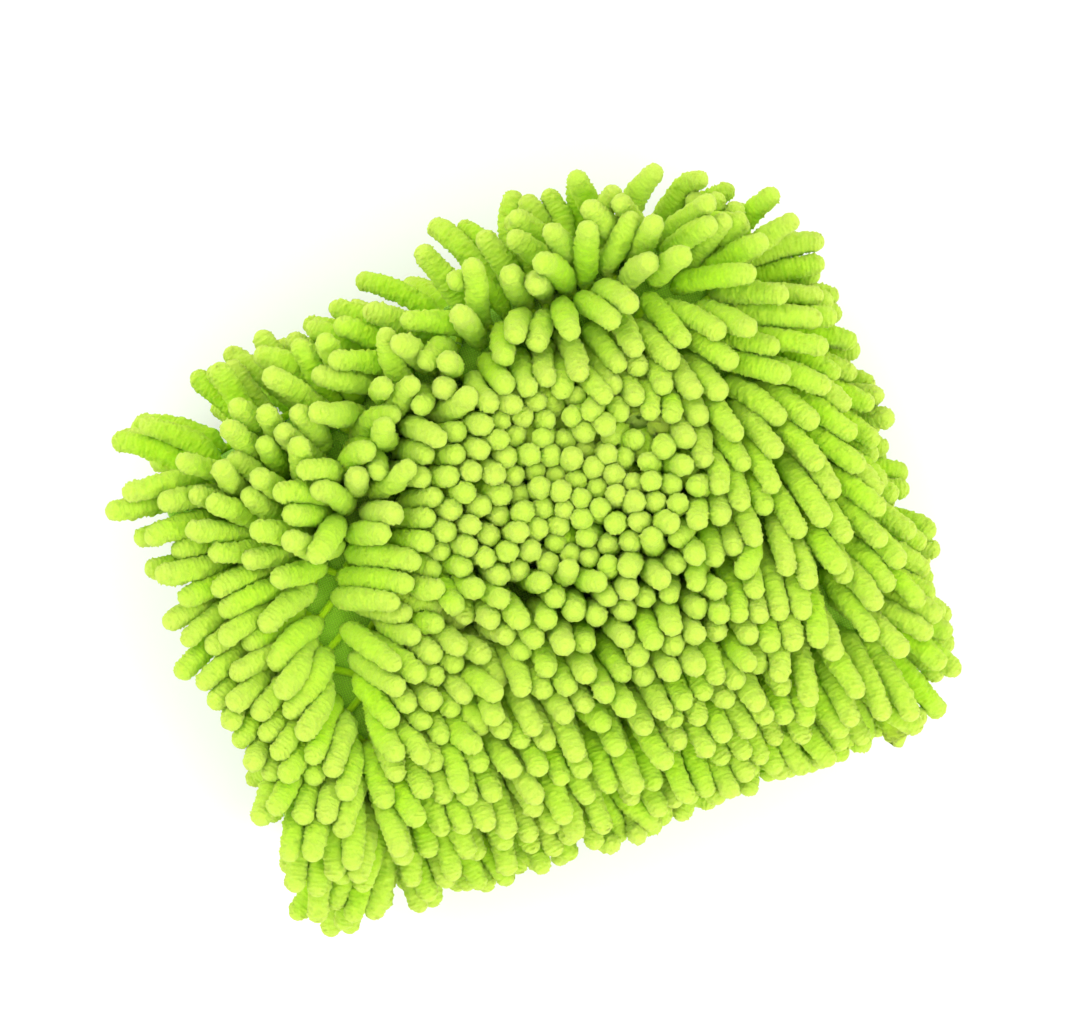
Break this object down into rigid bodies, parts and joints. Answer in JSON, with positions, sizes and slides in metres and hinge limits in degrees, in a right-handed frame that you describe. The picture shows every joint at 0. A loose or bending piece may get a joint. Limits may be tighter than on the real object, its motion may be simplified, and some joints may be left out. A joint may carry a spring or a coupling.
{
  "type": "wash mitt",
  "caption": "Double-sided car-wash mitt: a padded fabric pocket with a ribbed elastic cuff and a hanging loop, covered on both faces and round its edges with fat chenille noodles.",
  "frame": {"origin": "centre of the whole mitt, noodles included, on the plane between its back and palm halves", "axes": "+X from the mouth to the fingertips, +Z out of the back of the hand, +Y to the side that has the hanging loop"},
  "size_m": [0.2498, 0.2114, 0.114],
  "materials": {
    "chenille": "thick microfibre chenille noodles, soft and matt with a fuzzy pile",
    "backing": "fine warp-knitted polyester backing",
    "foam": "open-cell soft foam pad",
    "lining": "smooth light-grey polyester lining",
    "knit": "two-by-two rib knit",
    "elastic": "woven elastic band",
    "tape": "woven polyester binding tape",
    "thread": "twisted polyester thread",
    "label": "blank satin label tape"
  },
  "bodies": {
    "mitt_body": {"back_backing": "backing", "back_foam": "foam", "back_lining": "lining", "palm_backing": "backing", "palm_foam": "foam", "palm_lining": "lining", "seam_tape": "tape", "mouth_binding": "tape", "cuff_rib": "knit", "cuff_elastic": "elastic", "loop_bartack": "thread", "care_label": "label", "corner_tufts_left": "chenille", "corner_tufts_right": "chenille", "row_staples_back": "thread", "row_staples_palm": "thread", "seam_stitches": "thread", "binding_stitches": "thread", "cuff_stitches": "thread"},
    "hanging_loop": {"hanging_loop": "tape"},
    "back_row_06": {"back_row_06": "chenille"},
    "back_tip_row_upper": {"back_tip_row_upper": "chenille"},
    "back_cuff_row_inner": {"back_cuff_row_inner": "chenille"},
    "palm_row_06": {"palm_row_06": "chenille"},
    "palm_tip_row_upper": {"palm_tip_row_upper": "chenille"},
    "palm_cuff_row_inner": {"palm_cuff_row_inner": "chenille"},
    "back_row_01": {"back_row_01": "chenille"},
    "back_row_02": {"back_row_02": "chenille"},
    "back_row_03": {"back_row_03": "chenille"},
    "back_row_04": {"back_row_04": "chenille"},
    "back_row_05": {"back_row_05": "chenille"},
    "back_row_07": {"back_row_07": "chenille"},
    "back_row_08": {"back_row_08": "chenille"},
    "back_row_09": {"back_row_09": "chenille"},
    "back_row_10": {"back_row_10": "chenille"},
    "back_row_11": {"back_row_11": "chenille"},
    "back_edge_row_left_upper": {"back_edge_row_left_upper": "chenille"},
    "back_edge_row_left_lower": {"back_edge_row_left_lower": "chenille"},
    "back_edge_row_right_upper": {"back_edge_row_right_upper": "chenille"},
    "back_edge_row_right_lower": {"back_edge_row_right_lower": "chenille"},
    "back_tip_row_lower": {"back_tip_row_lower": "chenille"},
    "back_cuff_row_outer": {"back_cuff_row_outer": "chenille"},
    "palm_row_01": {"palm_row_01": "chenille"},
    "palm_row_02": {"palm_row_02": "chenille"},
    "palm_row_03": {"palm_row_03": "chenille"},
    "palm_row_04": {"palm_row_04": "chenille"},
    "palm_row_05": {"palm_row_05": "chenille"},
    "palm_row_07": {"palm_row_07": "chenille"},
    "palm_row_08": {"palm_row_08": "chenille"},
    "palm_row_09": {"palm_row_09": "chenille"},
    "palm_row_10": {"palm_row_10": "chenille"},
    "palm_row_11": {"palm_row_11": "chenille"},
    "palm_edge_row_left_upper": {"palm_edge_row_left_upper": "chenille"},
    "palm_edge_row_left_lower": {"palm_edge_row_left_lower": "chenille"},
    "palm_edge_row_right_upper": {"palm_edge_row_right_upper": "chenille"},
    "palm_edge_row_right_lower": {"palm_edge_row_right_lower": "chenille"},
    "palm_tip_row_lower": {"palm_tip_row_lower": "chenille"},
    "palm_cuff_row_outer": {"palm_cuff_row_outer": "chenille"}
  },
  "joints": [
    {"name": "back_row_06_lean", "type": "hinge", "parent": "mitt_body", "child": "back_row_06", "pos_m": [-0.0077, 0, 0.0268], "axis": [1, 0, 0], "range_deg": [-25, 25], "stiffness_Nm_per_rad": 0.02},
    {"name": "back_tip_row_upper_lean", "type": "hinge", "parent": "mitt_body", "child": "back_tip_row_upper", "pos_m": [0.08515, 0, 0.02409], "axis": [0, 1, 0], "range_deg": [-25, 25], "stiffness_Nm_per_rad": 0.02},
    {"name": "back_cuff_row_inner_lean", "type": "hinge", "parent": "mitt_body", "child": "back_cuff_row_inner", "pos_m": [-0.0894, 0, 0.0268], "axis": [0, 1, 0], "range_deg": [-20, 8], "stiffness_Nm_per_rad": 0.02},
    {"name": "palm_row_06_lean", "type": "hinge", "parent": "mitt_body", "child": "palm_row_06", "pos_m": [-0.0077, 0, -0.0268], "axis": [1, 0, 0], "range_deg": [-25, 25], "stiffness_Nm_per_rad": 0.02},
    {"name": "palm_tip_row_upper_lean", "type": "hinge", "parent": "mitt_body", "child": "palm_tip_row_upper", "pos_m": [0.08515, 0, -0.02409], "axis": [0, 1, 0], "range_deg": [-25, 25], "stiffness_Nm_per_rad": 0.02},
    {"name": "palm_cuff_row_inner_lean", "type": "hinge", "parent": "mitt_body", "child": "palm_cuff_row_inner", "pos_m": [-0.0894, 0, -0.0268], "axis": [0, 1, 0], "range_deg": [-8, 20], "stiffness_Nm_per_rad": 0.02},
    {"name": "back_row_01_lean", "type": "hinge", "parent": "mitt_body", "child": "back_row_01", "pos_m": [-0.0077, -0.054, 0.0268], "axis": [1, 0, 0], "range_deg": [-25, 25], "stiffness_Nm_per_rad": 0.02},
    {"name": "back_row_02_lean", "type": "hinge", "parent": "mitt_body", "child": "back_row_02", "pos_m": [-0.0077, -0.0432, 0.0268], "axis": [1, 0, 0], "range_deg": [-25, 25], "stiffness_Nm_per_rad": 0.02},
    {"name": "back_row_03_lean", "type": "hinge", "parent": "mitt_body", "child": "back_row_03", "pos_m": [-0.0077, -0.0324, 0.0268], "axis": [1, 0, 0], "range_deg": [-25, 25], "stiffness_Nm_per_rad": 0.02},
    {"name": "back_row_04_lean", "type": "hinge", "parent": "mitt_body", "child": "back_row_04", "pos_m": [-0.0077, -0.0216, 0.0268], "axis": [1, 0, 0], "range_deg": [-25, 25], "stiffness_Nm_per_rad": 0.02},
    {"name": "back_row_05_lean", "type": "hinge", "parent": "mitt_body", "child": "back_row_05", "pos_m": [-0.0077, -0.0108, 0.0268], "axis": [1, 0, 0], "range_deg": [-25, 25], "stiffness_Nm_per_rad": 0.02},
    {"name": "back_row_07_lean", "type": "hinge", "parent": "mitt_body", "child": "back_row_07", "pos_m": [-0.0077, 0.0108, 0.0268], "axis": [1, 0, 0], "range_deg": [-25, 25], "stiffness_Nm_per_rad": 0.02},
    {"name": "back_row_08_lean", "type": "hinge", "parent": "mitt_body", "child": "back_row_08", "pos_m": [-0.0077, 0.0216, 0.0268], "axis": [1, 0, 0], "range_deg": [-25, 25], "stiffness_Nm_per_rad": 0.02},
    {"name": "back_row_09_lean", "type": "hinge", "parent": "mitt_body", "child": "back_row_09", "pos_m": [-0.0077, 0.0324, 0.0268], "axis": [1, 0, 0], "range_deg": [-25, 25], "stiffness_Nm_per_rad": 0.02},
    {"name": "back_row_10_lean", "type": "hinge", "parent": "mitt_body", "child": "back_row_10", "pos_m": [-0.0077, 0.0432, 0.0268], "axis": [1, 0, 0], "range_deg": [-25, 25], "stiffness_Nm_per_rad": 0.02},
    {"name": "back_row_11_lean", "type": "hinge", "parent": "mitt_body", "child": "back_row_11", "pos_m": [-0.0077, 0.054, 0.0268], "axis": [1, 0, 0], "range_deg": [-25, 25], "stiffness_Nm_per_rad": 0.02},
    {"name": "back_edge_row_left_upper_lean", "type": "hinge", "parent": "mitt_body", "child": "back_edge_row_left_upper", "pos_m": [-0.0077, 0.06575, 0.02409], "axis": [1, 0, 0], "range_deg": [-25, 25], "stiffness_Nm_per_rad": 0.02},
    {"name": "back_edge_row_left_lower_lean", "type": "hinge", "parent": "mitt_body", "child": "back_edge_row_left_lower", "pos_m": [-0.0077, 0.07809, 0.01175], "axis": [1, 0, 0], "range_deg": [-25, 25], "stiffness_Nm_per_rad": 0.02},
    {"name": "back_edge_row_right_upper_lean", "type": "hinge", "parent": "mitt_body", "child": "back_edge_row_right_upper", "pos_m": [-0.0077, -0.06575, 0.02409], "axis": [1, 0, 0], "range_deg": [-25, 25], "stiffness_Nm_per_rad": 0.02},
    {"name": "back_edge_row_right_lower_lean", "type": "hinge", "parent": "mitt_body", "child": "back_edge_row_right_lower", "pos_m": [-0.0077, -0.07809, 0.01175], "axis": [1, 0, 0], "range_deg": [-25, 25], "stiffness_Nm_per_rad": 0.02},
    {"name": "back_tip_row_lower_lean", "type": "hinge", "parent": "mitt_body", "child": "back_tip_row_lower", "pos_m": [0.09749, 0, 0.01175], "axis": [0, 1, 0], "range_deg": [-25, 25], "stiffness_Nm_per_rad": 0.02},
    {"name": "back_cuff_row_outer_lean", "type": "hinge", "parent": "mitt_body", "child": "back_cuff_row_outer", "pos_m": [-0.0993, 0, 0.02785], "axis": [0, 1, 0], "range_deg": [-20, 8], "stiffness_Nm_per_rad": 0.02},
    {"name": "palm_row_01_lean", "type": "hinge", "parent": "mitt_body", "child": "palm_row_01", "pos_m": [-0.0077, -0.054, -0.0268], "axis": [1, 0, 0], "range_deg": [-25, 25], "stiffness_Nm_per_rad": 0.02},
    {"name": "palm_row_02_lean", "type": "hinge", "parent": "mitt_body", "child": "palm_row_02", "pos_m": [-0.0077, -0.0432, -0.0268], "axis": [1, 0, 0], "range_deg": [-25, 25], "stiffness_Nm_per_rad": 0.02},
    {"name": "palm_row_03_lean", "type": "hinge", "parent": "mitt_body", "child": "palm_row_03", "pos_m": [-0.0077, -0.0324, -0.0268], "axis": [1, 0, 0], "range_deg": [-25, 25], "stiffness_Nm_per_rad": 0.02},
    {"name": "palm_row_04_lean", "type": "hinge", "parent": "mitt_body", "child": "palm_row_04", "pos_m": [-0.0077, -0.0216, -0.0268], "axis": [1, 0, 0], "range_deg": [-25, 25], "stiffness_Nm_per_rad": 0.02},
    {"name": "palm_row_05_lean", "type": "hinge", "parent": "mitt_body", "child": "palm_row_05", "pos_m": [-0.0077, -0.0108, -0.0268], "axis": [1, 0, 0], "range_deg": [-25, 25], "stiffness_Nm_per_rad": 0.02},
    {"name": "palm_row_07_lean", "type": "hinge", "parent": "mitt_body", "child": "palm_row_07", "pos_m": [-0.0077, 0.0108, -0.0268], "axis": [1, 0, 0], "range_deg": [-25, 25], "stiffness_Nm_per_rad": 0.02},
    {"name": "palm_row_08_lean", "type": "hinge", "parent": "mitt_body", "child": "palm_row_08", "pos_m": [-0.0077, 0.0216, -0.0268], "axis": [1, 0, 0], "range_deg": [-25, 25], "stiffness_Nm_per_rad": 0.02},
    {"name": "palm_row_09_lean", "type": "hinge", "parent": "mitt_body", "child": "palm_row_09", "pos_m": [-0.0077, 0.0324, -0.0268], "axis": [1, 0, 0], "range_deg": [-25, 25], "stiffness_Nm_per_rad": 0.02},
    {"name": "palm_row_10_lean", "type": "hinge", "parent": "mitt_body", "child": "palm_row_10", "pos_m": [-0.0077, 0.0432, -0.0268], "axis": [1, 0, 0], "range_deg": [-25, 25], "stiffness_Nm_per_rad": 0.02},
    {"name": "palm_row_11_lean", "type": "hinge", "parent": "mitt_body", "child": "palm_row_11", "pos_m": [-0.0077, 0.054, -0.0268], "axis": [1, 0, 0], "range_deg": [-25, 25], "stiffness_Nm_per_rad": 0.02},
    {"name": "palm_edge_row_left_upper_lean", "type": "hinge", "parent": "mitt_body", "child": "palm_edge_row_left_upper", "pos_m": [-0.0077, 0.06575, -0.02409], "axis": [1, 0, 0], "range_deg": [-25, 25], "stiffness_Nm_per_rad": 0.02},
    {"name": "palm_edge_row_left_lower_lean", "type": "hinge", "parent": "mitt_body", "child": "palm_edge_row_left_lower", "pos_m": [-0.0077, 0.07809, -0.01175], "axis": [1, 0, 0], "range_deg": [-25, 25], "stiffness_Nm_per_rad": 0.02},
    {"name": "palm_edge_row_right_upper_lean", "type": "hinge", "parent": "mitt_body", "child": "palm_edge_row_right_upper", "pos_m": [-0.0077, -0.06575, -0.02409], "axis": [1, 0, 0], "range_deg": [-25, 25], "stiffness_Nm_per_rad": 0.02},
    {"name": "palm_edge_row_right_lower_lean", "type": "hinge", "parent": "mitt_body", "child": "palm_edge_row_right_lower", "pos_m": [-0.0077, -0.07809, -0.01175], "axis": [1, 0, 0], "range_deg": [-25, 25], "stiffness_Nm_per_rad": 0.02},
    {"name": "palm_tip_row_lower_lean", "type": "hinge", "parent": "mitt_body", "child": "palm_tip_row_lower", "pos_m": [0.09749, 0, -0.01175], "axis": [0, 1, 0], "range_deg": [-25, 25], "stiffness_Nm_per_rad": 0.02},
    {"name": "palm_cuff_row_outer_lean", "type": "hinge", "parent": "mitt_body", "child": "palm_cuff_row_outer", "pos_m": [-0.0993, 0, -0.02785], "axis": [0, 1, 0], "range_deg": [-8, 20], "stiffness_Nm_per_rad": 0.02},
    {"name": "loop_swing", "type": "hinge", "parent": "mitt_body", "child": "hanging_loop", "pos_m": [-0.10187, 0.05773, -0.02117], "axis": [0, 0.9848, 0.1736], "range_deg": [-60, 12], "stiffness_Nm_per_rad": 0.0005}
  ],
  "couplings": [
    {"joint": "back_row_01_lean", "follows": "back_row_06_lean", "ratio": 1},
    {"joint": "back_row_02_lean", "follows": "back_row_06_lean", "ratio": 1},
    {"joint": "back_row_03_lean", "follows": "back_row_06_lean", "ratio": 1},
    {"joint": "back_row_04_lean", "follows": "back_row_06_lean", "ratio": 1},
    {"joint": "back_row_05_lean", "follows": "back_row_06_lean", "ratio": 1},
    {"joint": "back_row_07_lean", "follows": "back_row_06_lean", "ratio": 1},
    {"joint": "back_row_08_lean", "follows": "back_row_06_lean", "ratio": 1},
    {"joint": "back_row_09_lean", "follows": "back_row_06_lean", "ratio": 1},
    {"joint": "back_row_10_lean", "follows": "back_row_06_lean", "ratio": 1},
    {"joint": "back_row_11_lean", "follows": "back_row_06_lean", "ratio": 1},
    {"joint": "back_edge_row_left_upper_lean", "follows": "back_row_06_lean", "ratio": 1},
    {"joint": "back_edge_row_left_lower_lean", "follows": "back_row_06_lean", "ratio": 1},
    {"joint": "back_edge_row_right_upper_lean", "follows": "back_row_06_lean", "ratio": 1},
    {"joint": "back_edge_row_right_lower_lean", "follows": "back_row_06_lean", "ratio": 1},
    {"joint": "back_tip_row_lower_lean", "follows": "back_tip_row_upper_lean", "ratio": 1},
    {"joint": "back_cuff_row_outer_lean", "follows": "back_cuff_row_inner_lean", "ratio": 1},
    {"joint": "palm_row_01_lean", "follows": "palm_row_06_lean", "ratio": 1},
    {"joint": "palm_row_02_lean", "follows": "palm_row_06_lean", "ratio": 1},
    {"joint": "palm_row_03_lean", "follows": "palm_row_06_lean", "ratio": 1},
    {"joint": "palm_row_04_lean", "follows": "palm_row_06_lean", "ratio": 1},
    {"joint": "palm_row_05_lean", "follows": "palm_row_06_lean", "ratio": 1},
    {"joint": "palm_row_07_lean", "follows": "palm_row_06_lean", "ratio": 1},
    {"joint": "palm_row_08_lean", "follows": "palm_row_06_lean", "ratio": 1},
    {"joint": "palm_row_09_lean", "follows": "palm_row_06_lean", "ratio": 1},
    {"joint": "palm_row_10_lean", "follows": "palm_row_06_lean", "ratio": 1},
    {"joint": "palm_row_11_lean", "follows": "palm_row_06_lean", "ratio": 1},
    {"joint": "palm_edge_row_left_upper_lean", "follows": "palm_row_06_lean", "ratio": 1},
    {"joint": "palm_edge_row_left_lower_lean", "follows": "palm_row_06_lean", "ratio": 1},
    {"joint": "palm_edge_row_right_upper_lean", "follows": "palm_row_06_lean", "ratio": 1},
    {"joint": "palm_edge_row_right_lower_lean", "follows": "palm_row_06_lean", "ratio": 1},
    {"joint": "palm_tip_row_lower_lean", "follows": "palm_tip_row_upper_lean", "ratio": 1},
    {"joint": "palm_cuff_row_outer_lean", "follows": "palm_cuff_row_inner_lean", "ratio": 1}
  ]
}
